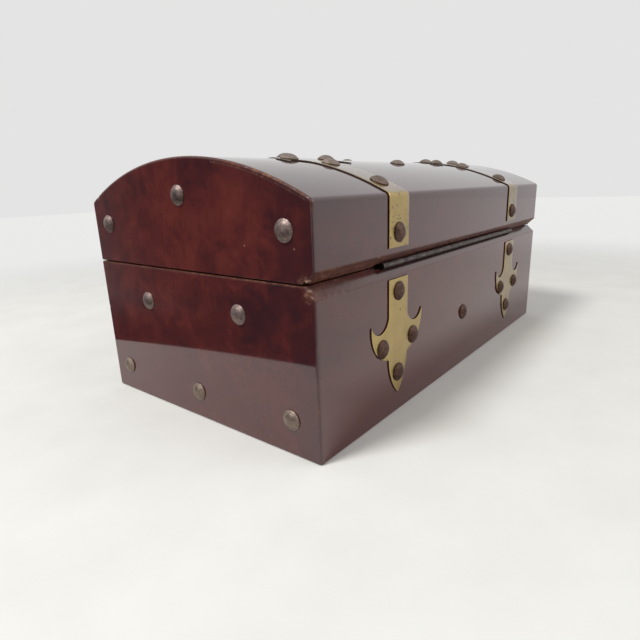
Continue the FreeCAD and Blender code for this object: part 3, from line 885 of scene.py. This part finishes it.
arm_tack_x = 0.61 * arm_reach
plate_arm_tack, plate_leaf_tack = 0.68 * ornament_length, 0.28 * ornament_length
plate_top_tack = 6.4 * mm
strap_arm_tack, strap_leaf_tack = 0.75 * ornament_length, 0.35 * ornament_length
strap_stem_tack = 44.8 * mm
strap_shoulder_tack = half_width - 10.7 * mm - strap_low.y
strap_foot_tack = 6.9 * mm
for name, side in (("right", 1), ("left", -1)):
    middle = side * strap_x
    heights = [(-arm_tack_x, plate_arm_tack), (arm_tack_x, plate_arm_tack), (0, plate_leaf_tack)]
    seats = [(middle + x, plate_high.y, plate_low.z + height) for x, height in heights]
    seats.append((middle, plate_high.y, plate_high.z - plate_top_tack))
    piece("base_plate_" + name + "_tack_heads", *tack_heads(seats, [(0, 1, 0)] * len(seats)), [bronze], "base",
          "tack_bronze", ["base_plate_" + name + "_tacks"])
    spans = [(-arm_tack_x, strap_arm_tack), (arm_tack_x, strap_arm_tack), (0, strap_leaf_tack),
             (0, strap_stem_tack), (0, strap_shoulder_tack)]
    seats, outwards = on_dome([(middle + x, strap_low.y + span) for x, span in spans], strap_thickness)
    seats = np.vstack([seats, (middle, strap_high.y, strap_low.z + strap_foot_tack)])
    outwards = np.vstack([outwards, (0, 1, 0)])
    piece("lid_strap_" + name + "_tack_heads", *tack_heads(seats, outwards), [bronze], "lid", "tack_bronze",
          ["lid_strap_" + name + "_tacks"])

side_tack_height = 35.0 * mm
for name, side in (("back", 1), ("front", -1)):
    heads = tack_heads([(0, side * half_width, side_tack_height)], [(0, side, 0)])
    piece("base_" + name + "_tack_head", *heads, [bronze], "base", "tack_bronze", ["base_" + name + "_tack"])
for name, y in (("rear", 32.0), ("crown", -8.0), ("front", -48.0)):
    piece("lid_top_" + name + "_tack_head", *tack_heads(*on_dome([(0, y * mm)], 0)), [bronze], "lid",
          "tack_bronze", ["lid_top_" + name + "_tack"])


# Camera, floor and light
# The camera stands where the photograph was taken from, low and close to one corner of the back.
# The box stands on a plain pale floor in soft light from above, with a darker room behind the camera.

eye = Vector((284.6, 193.1, 114.7)) * mm
target = Vector((0.0, -36.8, 12.1)) * mm
roll = math.radians(-2.05)
lens_pixels = 476.2
picture_pixels = 640.0

camera = bpy.data.cameras.new("camera")
camera.sensor_width = 36.0
camera.lens = lens_pixels * camera.sensor_width / picture_pixels
camera.clip_start = 0.01
stand = bpy.data.objects.new("camera", camera)
stand.rotation_mode = "QUATERNION"
stand.rotation_quaternion = (target - eye).to_track_quat("-Z", "Y") @ Quaternion((0, 0, 1), roll)
stand.location = eye
bpy.context.scene.collection.objects.link(stand)
bpy.context.scene.camera = stand

floor_reach = 3.0
floor_mesh = bpy.data.meshes.new("floor")
floor_mesh.from_pydata([(-floor_reach, -floor_reach, 0), (floor_reach, -floor_reach, 0),
                        (floor_reach, floor_reach, 0), (-floor_reach, floor_reach, 0)], [], [(0, 1, 2, 3)])
floor = bpy.data.objects.new("floor", floor_mesh)
bpy.context.scene.collection.objects.link(floor)
floor_finish, place, join = finish("pale floor", Roughness=0.8, Specular_IOR_Level=0.2, Emission_Strength=1.0)
pale = place.noise(30.0, 3.0).ramp((0.3, (0.80, 0.795, 0.755)), (0.7, (0.84, 0.835, 0.795)))
rays = floor_finish.node_tree.nodes.new("ShaderNodeLightPath").outputs
mirrored, seen = Wire(rays["Is Glossy Ray"]), Wire(rays["Is Camera Ray"])

# In the lacquer's mirror the pale floor ends in a slightly bowed line before the near end, with the dark room past it
across = place.axis(1)
past_edge = (place.axis(0) - across * 0.165 + across * across * 0.45).step(234.3 * mm, 235.7 * mm)
past_edge = past_edge * place.axis(0).step(100.0 * mm, 160.0 * mm)
dark = past_edge * mirrored
far = place.distance((0.0, 0.0, 0.0)).step(0.35, 0.80) * seen.most(mirrored) * (1 - dark)
join(Base_Color=far.blend(pale, (0.02, 0.018, 0.018)),
     Emission_Color=far.blend((0.0, 0.0, 0.0), (0.76, 0.76, 0.755)), Alpha=1 - dark)
floor_mesh.materials.append(floor_finish)

world = bpy.data.worlds.new("soft room")
bpy.context.scene.world = world
world.use_nodes = True
toward = Wire(world.node_tree.nodes.new("ShaderNodeTexCoord").outputs["Generated"])
rays = world.node_tree.nodes.new("ShaderNodeLightPath").outputs
seen, mirrors = Wire(rays["Is Camera Ray"]), Wire(rays["Is Glossy Ray"])
dark_side = toward.node("VectorMath", {"operation": "DOT_PRODUCT"}, {0: toward, 1: (0.75, -0.66, -0.03)}, 1)
walls = toward.axis(2).step(-0.1, 0.9).blend((0.80, 0.80, 0.80), (1.0, 1.0, 1.0))
below = 1 - toward.axis(2).step(-0.26, 0.0)
behind = toward.node("VectorMath", {"operation": "DOT_PRODUCT"}, {0: toward, 1: (0.72, 0.69, -0.03)}, 1)
unlit = dark_side.step(0.80, 0.97).most(below).most(behind.step(0.88, 0.97))
mirrored_room = unlit.blend(walls, (0.03, 0.028, 0.027))
room = mirrors.blend((0.42, 0.42, 0.42), mirrored_room)
sky = world.node_tree.nodes["Background"].inputs["Color"]
world.node_tree.links.new(seen.blend(room, (0.775, 0.775, 0.775)).socket, sky)


def hang_lamp(name, size, energy, location):
    """A round soft lamp that faces the box."""
    lamp = bpy.data.lights.new(name, "AREA")
    lamp.shape = "DISK"
    lamp.size = size
    lamp.energy = energy
    stand = bpy.data.objects.new(name, lamp)
    stand.location = location
    stand.rotation_mode = "QUATERNION"
    stand.rotation_quaternion = (-Vector(location)).to_track_quat("-Z", "Y")
    bpy.context.scene.collection.objects.link(stand)


hang_lamp("soft lamp", 0.32, 10.6, (0.72, -0.18, 1.08))
hang_lamp("fill lamp", 0.8, 2.2, (-0.30, 0.80, 0.70))

bpy.context.scene.view_settings.view_transform = "Standard"
